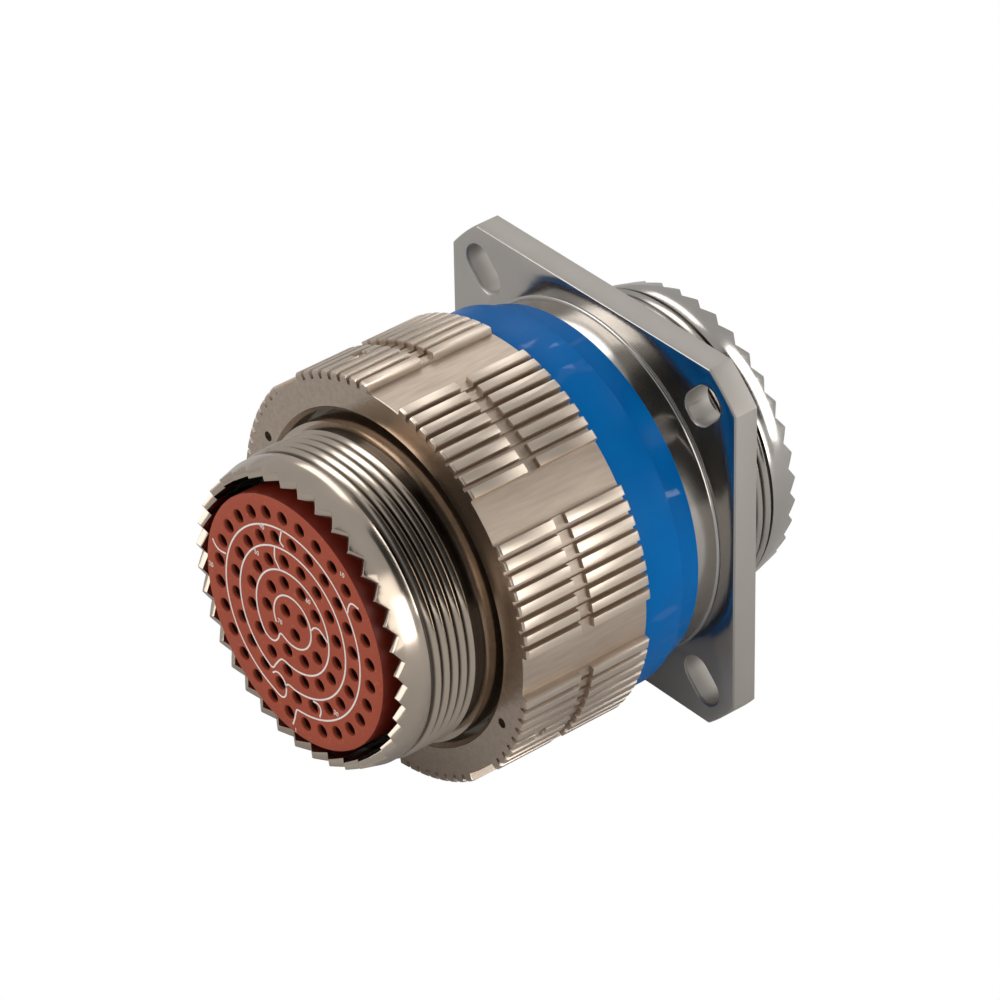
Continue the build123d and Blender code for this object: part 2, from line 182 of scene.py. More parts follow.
class Finish:
    """One procedural material: its nodes, its coordinates and its Principled shader."""

    def __init__(self, name):
        self.material = bpy.data.materials.new(name)
        self.material.use_nodes = True
        self.tree = self.material.node_tree
        self.shader = self.tree.nodes["Principled BSDF"]
        self.place = self.node("ShaderNodeTexCoord", {}, {}, "Object")

    def node(self, kind, settings, inputs, output=0):
        """Add a node: its settings first, then values or links for its sockets."""
        made = self.tree.nodes.new(kind)
        for key, setting in settings.items():
            setattr(made, key, setting)
        for key, value in inputs.items():
            if isinstance(value, Value):
                self.tree.links.new(value.socket, made.inputs[key])
            else:
                made.inputs[key].default_value = value
        return Value(self, made.outputs[output])

    def split(self):
        """X, Y and Z of the object coordinates, in metres."""
        parts = self.tree.nodes.new("ShaderNodeSeparateXYZ")
        self.tree.links.new(self.place.socket, parts.inputs[0])
        return [Value(self, parts.outputs[axis]) for axis in range(3)]

    def noise(self, scale, detail=2.0, place=None):
        """Smooth noise from 0 to 1, with so many waves to the metre."""
        return self.node(
            "ShaderNodeTexNoise", {}, {"Vector": place or self.place, "Scale": scale, "Detail": detail})

    def stretched(self, factors):
        """Object coordinates multiplied axis by axis, to draw noise out into streaks."""
        return self.node(
            "ShaderNodeVectorMath", {"operation": "MULTIPLY"}, {0: self.place, 1: factors})

    def mix(self, factor, first, second):
        """Blend of two colours."""
        return self.node(
            "ShaderNodeMix", {"data_type": "RGBA", "clamp_factor": True},
            {0: factor, 6: first, 7: second}, 2)

    def bump(self, height, strength, distance):
        """Feed a height into the shader's normal."""
        normal = self.node(
            "ShaderNodeBump", {}, {"Strength": strength, "Distance": distance, "Height": height})
        self.put("Normal", normal)

    def put(self, socket, value):
        """Set or link one socket of the shader."""
        if isinstance(value, Value):
            self.tree.links.new(value.socket, self.shader.inputs[socket])
        else:
            self.shader.inputs[socket].default_value = value


def colour(red, green, blue):
    """A colour written as it shows on a screen, from 0 to 255, turned into the linear values of a shader."""
    def linear(part):
        part = part / 255
        return part / 12.92 if part <= 0.04045 else ((part + 0.055) / 1.055) ** 2.4
    return linear(red), linear(green), linear(blue), 1.0


# %% [markdown]
# Polished steel shows what stands around it, so its own colour is plain. Turning leaves fine rings round
# the axis: noise that changes fast along Y and with the radius, and hardly at all round the axis. The foot
# of the thread rings is painted darker, as painted shade down in the grooves.

# %% Polished steel of the two shells
RIM_INSET = 0.04 * MM
RIM_INNER = 19.0 * MM
ROOT_SHADE_DEPTH = 0.42 * MM


def steel_finish(name, dark, light):
    """Polished steel, satin on the sawn rim of the flange, with painted shade at the foot of the threads."""
    finish = Finish(name)
    x, y, z = finish.split()
    radius = (x * x + z * z) ** 0.5
    rings = finish.node("ShaderNodeCombineXYZ", {}, {0: radius, 1: y, 2: 0.0})
    fine = finish.noise(9000.0, 1.0, rings)
    smear = finish.noise(260.0, 3.0)
    between_faces = y.above(FLANGE_FRONT + RIM_INSET, 0.01 * MM) * (1 - y.above(-RIM_INSET / 2, 0.01 * MM))
    rim = between_faces * radius.above(RIM_INNER, 0.3 * MM)
    threaded = sum(
        (y.above(start, 0.05 * MM) * (1 - y.above(end, 0.05 * MM)) for start, end in THREAD_ZONES),
        start=0.0)
    # Painted shade: below this depth under the crest, the thread rings are painted darker.
    root = threaded * (1 - radius.above(THREAD_CREST - ROOT_SHADE_DEPTH, 0.1 * MM))
    barrel = finish.mix(root, finish.mix(smear, dark, light), colour(92, 85, 78))
    finish.put("Base Color", finish.mix(rim, barrel, colour(184, 179, 173)))
    finish.put("Metallic", 1.0)
    finish.put("Roughness", 0.13 + 0.10 * smear + 0.44 * rim)
    finish.bump(0.4 * fine + rim * finish.noise(2500.0, 2.0), 0.12, 0.01 * MM)
    return finish.material


steel = steel_finish("polished_steel", colour(184, 179, 173), colour(198, 193, 187))
warm_steel = steel_finish("warm_polished_steel", colour(188, 174, 159), colour(204, 190, 175))


# %% [markdown]
# The nut is plated in a warm satin nickel. Its rib tops have worn brighter, and below them the colour is
# painted darker and greyer, which in the grooves between the ribs is painted shade; the lands between the
# groups share it, so the colour follows the radius. A fine grain runs along the axis. The rear face was
# turned smoother and mirrors the barrel beside it.

# %% Warm nickel of the nut
REAR_FACE_DEPTH = 0.1 * MM


def nickel_finish():
    finish = Finish("warm_nickel")
    x, y, z = finish.split()
    radius = (x * x + z * z) ** 0.5
    tops = radius.above(RIB_TOP, 0.15 * MM)
    patches = finish.noise(220.0, 4.0)
    along = finish.noise(2400.0, 3.0, finish.stretched((1.0, 0.1, 1.0)))
    # Painted shade: the low colour, under the rib tops, stands for the shade in the grooves between the ribs.
    low = finish.mix(along, colour(168, 152, 138), colour(204, 188, 172))
    high = finish.mix(along, colour(196, 180, 164), colour(226, 212, 196))
    finish.put("Base Color", finish.mix(tops, low, high))
    finish.put("Metallic", 1.0)
    rear = 1 - y.above(nut_low.y + REAR_FACE_DEPTH, 0.05 * MM)
    finish.put("Roughness", (0.42 + 0.12 * patches - 0.1 * tops) * (1 - 0.55 * rear))
    finish.bump(along + 0.5 * patches, 0.3, 0.02 * MM)
    return finish.material


nickel = nickel_finish()


# %% [markdown]
# The bands are a blue lacquer over the metal, deeper where it is thick. Handling has rubbed it dull, and
# only some streaks are still glossy.

# %% Blue lacquer
def lacquer_finish():
    finish = Finish("blue_lacquer")
    patches = finish.noise(150.0, 3.0)
    fine = finish.noise(4000.0, 2.0)
    streaks = finish.noise(420.0, 3.0, finish.stretched((1.0, 0.35, 1.0)))
    finish.put("Base Color", finish.mix(patches, colour(0, 84, 152), colour(0, 104, 172)))
    finish.put("Metallic", 0.0)
    finish.put("Roughness", 0.3 + 0.08 * patches)
    finish.put("Specular IOR Level", 0.06)
    finish.put("Coat Weight", 0.5 * streaks.above(0.62, 0.03))
    finish.put("Coat Roughness", 0.06)
    finish.bump(fine, 0.06, 0.01 * MM)
    return finish.material


lacquer = lacquer_finish()


# %% [markdown]
# The grommet is terracotta silicone: a matt, slightly mottled face with a fine grain. Its side wall, in the
# gap inside the barrel, is smoother and painted a darker, deeper red as painted shade, and down each hole the
# colour is painted dark as painted shade.

# %% Terracotta silicone
GROMMET_SIDE = 12.66 * MM
HOLE_SHADE_DEPTH = 0.4 * MM
HOLE_SHADE_SOFT = 0.15 * MM


def silicone_finish():
    finish = Finish("terracotta_silicone")
    x, y, z = finish.split()
    patches = finish.noise(180.0, 3.0)
    grain = finish.noise(3500.0, 2.0)
    base = finish.mix(patches, colour(166, 76, 53), colour(178, 84, 60))
    speckled = finish.mix(grain.above(0.68, 0.06), base, colour(192, 100, 74))
    # Painted shade: the side wall, in the gap inside the barrel, is painted a darker, deeper red.
    side = ((x * x + z * z) ** 0.5).above(GROMMET_SIDE, 0.03 * MM)
    # Painted shade: past this depth below each face, the walls of the holes are painted dark.
    below_plug_face = y.above(plug_face_y + HOLE_SHADE_DEPTH, HOLE_SHADE_SOFT)
    below_receptacle_face = 1 - y.above(receptacle_face_y - HOLE_SHADE_DEPTH, HOLE_SHADE_SOFT)
    painted_hole_shade = below_plug_face * below_receptacle_face
    shaded = finish.mix(painted_hole_shade, speckled, colour(58, 22, 15))
    finish.put("Base Color", finish.mix(side, shaded, colour(100, 27, 12)))
    finish.put("Specular IOR Level", 0.25)
    finish.put("Roughness", 0.58 + 0.1 * patches - 0.2 * side)
    finish.bump(grain, 0.25, 0.03 * MM)
    return finish.material


silicone = silicone_finish()


# %% [markdown]
# The small hidden pieces get plain but true finishes: hard insert plastic, gold contacts, spring strip,
# a pale washer and a soft seal.

# %% Finishes of the inner pieces
def plain_finish(name, first, second, metallic, roughness, scale):
    finish = Finish(name)
    patches = finish.noise(scale, 3.0)
    finish.put("Base Color", finish.mix(patches, first, second))
    finish.put("Metallic", metallic)
    finish.put("Roughness", roughness + 0.1 * patches)
    finish.bump(patches, 0.1, 0.02 * MM)
    return finish.material


insert_plastic = plain_finish("insert_plastic", colour(52, 60, 48), colour(64, 72, 58), 0.0, 0.45, 900.0)
gold = plain_finish("gold_plating", colour(222, 184, 110), colour(236, 200, 128), 1.0, 0.22, 600.0)
strip = plain_finish("spring_strip", colour(178, 172, 164), colour(198, 192, 184), 1.0, 0.28, 1200.0)
washer_plastic = plain_finish("washer_plastic", colour(206, 202, 192), colour(220, 216, 206), 0.0, 0.5, 700.0)
seal_rubber = plain_finish("seal_rubber", colour(120, 52, 40), colour(136, 60, 46), 0.0, 0.6, 900.0)
white_ink = plain_finish("white_ink", colour(244, 234, 226), colour(252, 246, 240), 0.0, 0.5, 2500.0)

NODE_FINISHES = {
    "receptacle_shell": steel,
    "plug_shell": warm_steel,
    "detent_ring": steel,
    "coupling_nut": nickel,
    "nut_snap_ring": strip,
    "click_springs": strip,
    "click_pins": strip,
    "grounding_band": strip,
    "thrust_washer": washer_plastic,
    "shell_seal": seal_rubber,
    "interface_seal": seal_rubber,
    "receptacle_retention_plate": insert_plastic,
    "plug_retention_plate": insert_plastic,
    "receptacle_insert": insert_plastic,
    "plug_insert": insert_plastic,
    "receptacle_insert_ring": insert_plastic,
    "plug_insert_ring": insert_plastic,
    "pin_contacts": gold,
    "socket_contacts": gold,
    "plug_grommet": silicone,
    "receptacle_grommet": silicone,
}
for name, finish_material in NODE_FINISHES.items():
    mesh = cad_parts[name].data
    mesh.materials.clear()
    mesh.materials.append(finish_material)
print("finished", len(NODE_FINISHES), "nodes")


# %% [markdown]
# Every added piece ends the same way: its mesh is written, its walls face outwards, it is smooth except at
# its edges, and it rides on the body that carries it.

# %% Turn a bmesh into a finished piece
SHARP_ANGLE = radians(32)


def make_piece(mesh_maker, name, body, finish_material):
    bmesh.ops.recalc_face_normals(mesh_maker, faces=mesh_maker.faces)
    mesh = bpy.data.meshes.new(name)
    mesh_maker.to_mesh(mesh)
    mesh_maker.free()
    mesh.shade_smooth()
    mesh.set_sharp_from_angle(angle=SHARP_ANGLE)
    mesh.materials.append(finish_material)
    piece = bpy.data.objects.new(name, mesh)
    bpy.context.collection.objects.link(piece)
    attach(piece, body)
    print(name, len(mesh.polygons), "faces")
    return piece


# %% [markdown]
# Machined corners never stay knife sharp: tumbling and plating round them, and each round catches a thin
# bright line, which is what makes ribs, teeth and threads read as metal. The solids have plain corners.
# Each mesh is loose triangles with fixed normals, so a copy is freed of these and merged first. Its flat
# triangles are joined into faces again, and then the outer corners that the eye looks for are bevelled.
# The copy replaces the solid in the picture.

# %% Rounded copies of the nut and the shells
MERGE_DISTANCE = 0.0005 * MM
FLAT_ANGLE = radians(0.3)
CORNER_ANGLE = radians(25)
RIB_ROUND = 0.2 * MM
TOOTH_ROUND = 0.07 * MM
FLANGE_ROUND = 0.1 * MM
CREST_ROUND = 0.2 * MM
CREST_REACH = 0.02 * MM
RIB_FOOT = 19.9 * MM
FLANGE_INNER = 19.5 * MM
TOOTH_REACH = 3.6 * MM


def on_rib(point):
    return hypot(point.x, point.z) > RIB_FOOT


def on_plug_tooth(point):
    return point.y < plug_face_y + TOOTH_REACH


def on_receptacle_tooth(point):
    return point.y > receptacle_face_y - TOOTH_REACH


def on_thread_crest(point):
    return abs(hypot(point.x, point.z) - THREAD_CREST) < CREST_REACH


def on_flange_edge(point):
    return hypot(point.x, point.z) > FLANGE_INNER


def rounded_copy(node, name, body, finish_material, rounds):
    """Merge a copy of a node's mesh and bevel its outer corners.

    Each round is a pair: a test that a corner's ends must pass, and the size of the bevel.
    """
    solid_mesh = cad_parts[node].data.copy()
    if "custom_normal" in solid_mesh.attributes:
        solid_mesh.attributes.remove(solid_mesh.attributes["custom_normal"])
    mesh_maker = bmesh.new()
    mesh_maker.from_mesh(solid_mesh)
    bpy.data.meshes.remove(solid_mesh)
    bmesh.ops.remove_doubles(mesh_maker, verts=mesh_maker.verts, dist=MERGE_DISTANCE)
    bmesh.ops.dissolve_limit(
        mesh_maker, angle_limit=FLAT_ANGLE, verts=mesh_maker.verts, edges=mesh_maker.edges)
    for belongs, size in rounds:
        corners = [
            edge for edge in mesh_maker.edges
            if edge.is_manifold and edge.is_convex and edge.calc_face_angle() > CORNER_ANGLE
            and all(belongs(corner.co) for corner in edge.verts)
        ]
        bmesh.ops.bevel(
            mesh_maker, geom=corners, offset=size, segments=2, profile=0.5, affect="EDGES", material=-1,
            clamp_overlap=True)
        print(name, "rounded", len(corners), "edges")
    bmesh.ops.remove_doubles(mesh_maker, verts=mesh_maker.verts, dist=MERGE_DISTANCE)
    bmesh.ops.dissolve_degenerate(mesh_maker, dist=MERGE_DISTANCE, edges=mesh_maker.edges)
    piece = make_piece(mesh_maker, name, body, finish_material)
    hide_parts(node)


rounded_copy(
    "coupling_nut", "coupling_nut_rounded", "nut", nickel,
    [(on_rib, RIB_ROUND)])
rounded_copy(
    "plug_shell", "plug_shell_rounded", "plug", warm_steel,
    [(on_plug_tooth, TOOTH_ROUND), (on_thread_crest, CREST_ROUND)])
rounded_copy(
    "receptacle_shell", "receptacle_shell_rounded", "receptacle", steel,
    [(on_receptacle_tooth, TOOTH_ROUND), (on_thread_crest, CREST_ROUND), (on_flange_edge, FLANGE_ROUND)])


# %% [markdown]
# A screw thread is one ridge wound round a cylinder. The ridge's section is drawn once and spun round the
# axis while it climbs one lead a turn; its foot is sunk a little into the solid so that no gap shows.
# The coupling thread shows when the plug is drawn off. It has three wide, blunt ridges side by side, so
# that one turn of the nut moves it three ridges along. They end inside the hub, where nobody sees the cut.

# %% Coupling thread
STEPS_PER_TURN = 96
FOOT_SINK = 0.12 * MM


def outline_loop(mesh_maker, points):
    """A closed loop of edges through (radius, Y) points in the XY plane."""
    corners = [mesh_maker.verts.new((radius, y, 0)) for radius, y in points]
    return [mesh_maker.edges.new((corner, corners[place - 1])) for place, corner in enumerate(corners)]


def wind_thread(section, start_y, turns, lead, start_angle):
    """Spin a closed section round the axis, climbing along +Y, and close both ends."""
    mesh_maker = bmesh.new()
    edges = outline_loop(mesh_maker, [(radius, start_y + y) for radius, y in section])
    bmesh.ops.rotate(
        mesh_maker, verts=mesh_maker.verts, cent=(0, 0, 0), matrix=Matrix.Rotation(start_angle, 3, "Y"))
    first_end = bmesh.ops.contextual_create(mesh_maker, geom=edges)
    steps = ceil(STEPS_PER_TURN * turns)
    bmesh.ops.spin(
        mesh_maker, geom=first_end["faces"], cent=(0, 0, 0), axis=AXIS,
        dvec=AXIS * (lead * turns / steps), angle=2 * pi * turns, steps=steps, use_merge=False)
    return mesh_maker


def ridge(root, crest, foot_width, crest_width):
    """Section of a ridge as (radius, Y) points round its own middle."""
    return (
        (root - FOOT_SINK, -foot_width / 2),
        (root, -foot_width / 2),
        (crest, -crest_width / 2),
        (crest, crest_width / 2),
        (root, foot_width / 2),
        (root - FOOT_SINK, foot_width / 2),
    )


RIDGE_FOOT_WIDTH = 1.7 * MM
RIDGE_CREST_WIDTH = 0.8 * MM
COUPLING_LEAD_IN = 1.4 * MM
COUPLING_OVERRUN = 1.0 * MM
coupling_ridge = ridge(COUPLING_ROOT, COUPLING_CREST, RIDGE_FOOT_WIDTH, RIDGE_CREST_WIDTH)
coupling_start = shell_low.y + COUPLING_LEAD_IN
coupling_run = HUB_FRONT + COUPLING_OVERRUN - coupling_start
coupling_turns = coupling_run / COUPLING_LEAD
for start in range(COUPLING_STARTS):
    start_angle = 2 * pi * start / COUPLING_STARTS
    make_piece(
        wind_thread(coupling_ridge, coupling_start, coupling_turns, COUPLING_LEAD, start_angle),
        f"coupling_thread_{start + 1}", "receptacle", steel)


# %% [markdown]
# Paint has a thickness, though a thin one. The two blue bands are one turned film that follows the outside
# of the nut: the short front face, the front band, the step, and the middle band up to the ribs. Its corners
# are rounded, because wet lacquer draws back from an edge, and that round catches a thin line of light.

# %% Lathe: a closed section turned once round the axis
LATHE_STEPS = 192
CORNER_STEPS = 3


def turn_section(points, round_corners=0.0):
    """Turn a closed (radius, Y) section a full circle, with its corners rounded first if asked."""
    mesh_maker = bmesh.new()
    edges = outline_loop(mesh_maker, points)
    face = bmesh.ops.contextual_create(mesh_maker, geom=edges)["faces"][0]
    if round_corners:
        bmesh.ops.bevel(
            mesh_maker, geom=face.verts[:], offset=round_corners, segments=CORNER_STEPS, profile=0.5,
            affect="VERTICES", material=-1)
    bmesh.ops.delete(mesh_maker, geom=mesh_maker.faces[:], context="FACES_ONLY")
    bmesh.ops.spin(
        mesh_maker, geom=mesh_maker.verts[:] + mesh_maker.edges[:], cent=(0, 0, 0), axis=AXIS,
        angle=2 * pi, steps=LATHE_STEPS, use_merge=True)
    return mesh_maker


# %% Blue bands
FILM = 0.035 * MM
FILM_SINK = 0.1 * MM
FILM_ROUND = 0.03 * MM
RIB_MARGIN = 0.02 * MM
paint_rear = nut_low.y + RIB_LENGTH + RIB_MARGIN
middle_front = nut_low.y + RIB_LENGTH + MIDDLE_BAND_LENGTH
band_section = (
    (SKIRT_BORE, nut_high.y - FILM_SINK),
    (SKIRT_BORE, nut_high.y + FILM),
    (FRONT_BAND + FILM, nut_high.y + FILM),
    (FRONT_BAND + FILM, middle_front + FILM),
    (MIDDLE_BAND + FILM, middle_front + FILM),
    (MIDDLE_BAND + FILM, paint_rear),
    (MIDDLE_BAND - FILM_SINK, paint_rear),
    (MIDDLE_BAND - FILM_SINK, middle_front - FILM_SINK),
    (FRONT_BAND - FILM_SINK, middle_front - FILM_SINK),
    (FRONT_BAND - FILM_SINK, nut_high.y - FILM_SINK),
)
make_piece(turn_section(band_section, FILM_ROUND), "blue_bands", "nut", lacquer)


# %% [markdown]
# Where the hub meets the flange, the tool's nose leaves a small round instead of a sharp corner. It shows
# as one thin bright ring, so it is turned here as a ring of its own, sunk into both.

# %% Round at the foot of the hub
HUB_ROUND = 0.3 * MM
HUB_ROUND_STEPS = 4
hub_round_angles = [pi / 2 * step / HUB_ROUND_STEPS for step in range(HUB_ROUND_STEPS + 1)]
hub_round_section = [
    (HUB_RADIUS + HUB_ROUND * (1 - cos(angle)), FLANGE_FRONT - HUB_ROUND * (1 - sin(angle)))
    for angle in hub_round_angles
]
hub_round_section += [
    (HUB_RADIUS + HUB_ROUND, FLANGE_FRONT + FILM_SINK),
    (HUB_RADIUS - FILM_SINK, FLANGE_FRONT + FILM_SINK),
    (HUB_RADIUS - FILM_SINK, FLANGE_FRONT - HUB_ROUND),
]
make_piece(turn_section(hub_round_section), "hub_round", "receptacle", steel)


# %% [markdown]
# The grommet is a moulded silicone disc. Its face has five rings of round holes, each with a soft lip where
# the mould pin came out, and its rim is slightly rounded. The face is filled round the hole outlines with
# one operator, then the outlines are pushed in to make the walls. Each ring of the pattern is given by its
# count, its radius and the angle of its first hole in degrees.

# %% Contact pattern
CONTACT_RINGS = (
    (28, 10.88 * MM, 6.1),
    (22, 8.5 * MM, 7.8),
    (16, 6.2 * MM, 10.7),
    (10, 3.92 * MM, 0.6),
    (3, 1.41 * MM, 33.0),
)
contact_angles = [
    (ring_radius, radians(first + 360 / count * step))
    for count, ring_radius, first in CONTACT_RINGS for step in range(count)
]
contact_places = [(radius * cos(angle), radius * sin(angle)) for radius, angle in contact_angles]
print(len(contact_places), "contact holes")

# %% Grommets with round holes
HOLE_RADIUS = 0.7 * MM
LIP = 0.07 * MM
HOLE_SIDES = 24
HOLE_DEPTH = 4.0 * MM
RIM_SIDES = 160
RIM_ROUND = 0.15 * MM
RIM_STEP = 0.3 * RIM_ROUND


def push(mesh_maker, edges, along, scale_from=None, factor=1.0):
    """Extrude rings of edges, move the new ring along Y and, if asked, scale it about the given centre."""
    made = bmesh.ops.extrude_edge_only(mesh_maker, edges=edges)["geom"]
    corners = [part for part in made if isinstance(part, bmesh.types.BMVert)]
    bmesh.ops.translate(mesh_maker, verts=corners, vec=AXIS * along)
    if scale_from is not None:
        to_centre = Matrix.Translation(-scale_from)
        bmesh.ops.scale(mesh_maker, verts=corners, vec=(factor, 1, factor), space=to_centre)
    return [part for part in made if isinstance(part, bmesh.types.BMEdge)]


def circle_edges(mesh_maker, radius, sides, centre_x, centre_z, y):
    """A ring of edges across the axis."""
    place = Matrix.Translation((centre_x, y, centre_z)) @ Matrix.Rotation(radians(90), 4, "X")
    made = bmesh.ops.create_circle(mesh_maker, cap_ends=False, radius=radius, segments=sides, matrix=place)
    return list({edge for corner in made["verts"] for edge in corner.link_edges})


def build_grommet(name, node, body):
    """One grommet: a filled face, a rounded rim, a closed back and a well for every contact."""
    low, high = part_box(node)
    radius = (high.x - low.x) / 2
    faces_out = 1 if body == "receptacle" else -1
    face_y = receptacle_face_y if faces_out > 0 else plug_face_y
    seat_y = low.y if faces_out > 0 else high.y
    mesh_maker = bmesh.new()
    rim = circle_edges(mesh_maker, radius - RIM_ROUND, RIM_SIDES, 0, 0, face_y)
    mouth_radius = HOLE_RADIUS + LIP
    mouths = [circle_edges(mesh_maker, mouth_radius, HOLE_SIDES, x, z, face_y) for x, z in contact_places]
    flat = [edge for mouth in mouths for edge in mouth]
    bmesh.ops.triangle_fill(mesh_maker, use_beauty=True, use_dissolve=False, edges=rim + flat)
    centre = Vector((0, face_y, 0))
    shoulder = push(
        mesh_maker, rim, -faces_out * RIM_STEP, centre, (radius - RIM_STEP) / (radius - RIM_ROUND))
    edge_ring = push(
        mesh_maker, shoulder, -faces_out * (RIM_ROUND - RIM_STEP), centre, radius / (radius - RIM_STEP))
    bottom = push(mesh_maker, edge_ring, seat_y - face_y + faces_out * RIM_ROUND)
    bmesh.ops.contextual_create(mesh_maker, geom=bottom)
    for mouth, (x, z) in zip(mouths, contact_places):
        middle = Vector((x, face_y, z))
        lip = push(mesh_maker, mouth, -faces_out * LIP, middle, HOLE_RADIUS / mouth_radius)
        floor = push(mesh_maker, lip, -faces_out * (HOLE_DEPTH - LIP))
        bmesh.ops.contextual_create(mesh_maker, geom=floor)
    piece = make_piece(mesh_maker, name, body, silicone)
    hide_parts(node)


build_grommet("plug_grommet_face", "plug_grommet", "plug")
build_grommet("receptacle_grommet_face", "receptacle_grommet", "receptacle")


# %% [markdown]
# White guide lines help the wireman to find each hole. They run in four nearly closed rings between the
# rings of holes, and slanting jogs lead from the end of one ring to the start of the next, so that they
# make one spiral. Here each line is a flat strip laid along its route and printed a hair above the rubber.

# %% Guide lines
LINE_WIDTH = 0.17 * MM
LINE_HEIGHT = 0.03 * MM
LINE_SINK = 0.02 * MM
GUIDE_CENTRE = (-0.18, -0.06)
ARC_STEP = 6


def guide_arc(radius, first, last):
    """Points of an arc about the middle of the guide, in millimetres."""
    count = max(2, ceil(abs(last - first) / ARC_STEP))
    angles = [first + (last - first) * step / count for step in range(count + 1)]
    return [(radius * cos(radians(angle)), radius * sin(radians(angle))) for angle in angles]


GUIDE_ROUTES = (
    [(-0.55, -11.77), (-0.25, -11.0), (0.0, -10.0), (0.1, -9.72)] + guide_arc(9.68, -87, 252)
    + [(-2.11, -9.55), (-1.5, -9.2), (-1.3, -8.4), (-1.37, -7.8), (-1.0, -7.45)]
    + guide_arc(7.62, -90, 245) + [(-2.7, -6.05), (-1.95, -5.1)] + guide_arc(5.24, -106, 204)
    + [(-4.3, -3.1), (-3.6, -3.6), (-2.8, -3.6), (-2.2, -3.0), (-1.95, -2.2), (-1.6, -2.2)]
    + guide_arc(2.68, -116, 195) + [(-2.4, -1.2)],
    [(8.15, 5.45), (8.3, 6.3), (8.75, 6.9), (9.75, 6.75)],
    [(-9.55, 2.6), (-10.5, 2.45), (-11.1, 2.7), (-11.5, 3.3)],
    [(-1.05, 9.65), (-1.35, 8.6), (-1.4, 8.2), (-0.85, 7.9)],
    [(-2.2, 7.2), (-2.3, 5.9), (-1.9, 5.5), (-1.6, 5.05)],
    [(2.75, 0.6), (3.1, 1.1), (3.75, 1.35), (4.3, 1.1), (5.1, 0.5)],
    [(2.6, -7.4), (3.4, -7.3), (3.8, -7.85), (3.5, -8.7)],
    [(-3.28, -7.4), (-2.7, -6.9), (-1.95, -7.05), (-1.42, -7.6), (-1.35, -8.1)],
)
ROUNDING_PASSES = 2


def rounded_route(route):
    """Cut every corner of a route twice at its quarter points, which turns kinks into curves."""
    points = [Vector(point) for point in route]
    for _ in range(ROUNDING_PASSES):
        cut = [
            point.lerp(following, share) for point, following in zip(points, points[1:])
            for share in (0.25, 0.75)
        ]
        points = [points[0]] + cut + [points[-1]]
    return points


def lay_strip(mesh_maker, route, face_y, faces_out):
    """A flat strip of even width along a route on the grommet face."""
    points = [
        Vector(((x + GUIDE_CENTRE[0]) * MM, 0, (z + GUIDE_CENTRE[1]) * MM)) for x, z in rounded_route(route)
    ]
    levels = (face_y - faces_out * LINE_SINK, face_y + faces_out * LINE_HEIGHT)
    rows = []
    for place, point in enumerate(points):
        before = points[max(place - 1, 0)]
        after = points[min(place + 1, len(points) - 1)]
        side = (after - before).normalized().cross(AXIS) * (LINE_WIDTH / 2)
        places = ((-side, 0), (-side, 1), (side, 1), (side, 0))
        corners = [mesh_maker.verts.new(point + offset + AXIS * levels[level]) for offset, level in places]
        rows.append([mesh_maker.edges.new((corners[step - 1], corners[step])) for step in range(4)])
    for first, second in zip(rows, rows[1:]):
        bmesh.ops.bridge_loops(mesh_maker, edges=first + second)
    bmesh.ops.contextual_create(mesh_maker, geom=rows[0])
    bmesh.ops.contextual_create(mesh_maker, geom=rows[-1])


# %% [markdown]
# A small number stands beside every tenth hole, counted inwards along the spiral, so that the wireman does
# not have to count them all. Each is set in plain type, made a mesh, turned to face outwards and printed
# like the lines.

# %% Hole numbers
NUMBER_SIZE = 0.7 * MM
NUMBER_PLACES = (
    (1, -0.35, -12.3), (10, 7.35, 9.25), (20, -12.1, 0.1), (30, 5.75, -7.0),
    (40, -4.15, 8.45), (50, -5.1, 5.1), (60, 2.25, 3.6), (70, -2.05, -0.95),
)


def stamp_number(mesh_maker, number, x, z, face_y, faces_out):
    """Add one number to the mesh, standing on the face of the grommet."""
    letters = bpy.data.curves.new("hole_number", "FONT")
    letters.body = str(number)
    letters.size = NUMBER_SIZE
    letters.align_x = "CENTER"
    letters.align_y = "CENTER"
    letters.extrude = (LINE_HEIGHT + LINE_SINK) / 2
    holder = bpy.data.objects.new("hole_number", letters)
    bpy.context.collection.objects.link(holder)
    printed = bpy.data.meshes.new_from_object(holder)
    upright = Matrix.Rotation(radians(90), 4, "X")
    turned = upright if faces_out < 0 else Matrix.Rotation(pi, 4, "Z") @ upright
    middle = face_y + faces_out * (LINE_HEIGHT - LINE_SINK) / 2
    printed.transform(Matrix.Translation((x * MM, middle, z * MM)) @ turned)
    mesh_maker.from_mesh(printed)
    bpy.data.objects.remove(holder)
    bpy.data.curves.remove(letters)
    bpy.data.meshes.remove(printed)


def build_guides(name, body, face_y):
    """All the white print of one grommet: its numbers and its lines."""
    faces_out = 1 if body == "receptacle" else -1
    mesh_maker = bmesh.new()
    for number, x, z in NUMBER_PLACES:
        stamp_number(mesh_maker, number, x, z, face_y, faces_out)
    bmesh.ops.remove_doubles(mesh_maker, verts=mesh_maker.verts, dist=MERGE_DISTANCE)
    for route in GUIDE_ROUTES:
        lay_strip(mesh_maker, route, face_y, faces_out)
    make_piece(mesh_maker, name, body, white_ink)


build_guides("plug_guide_lines", "plug", plug_face_y)
build_guides("receptacle_guide_lines", "receptacle", receptacle_face_y)

# %% [markdown]
# The backdrop is white to the eye of the camera, but to everything else it is a plain grey floor that
# takes light and shade. It lies just under the part.

# %% Floor and backdrop
FLOOR_SIZE = 3.0
FLOOR_MIDDLE = -14 * MM
FLOOR_DROP = 0.5 * MM
FLOOR_GREY = (0.6, 0.6, 0.6, 1.0)


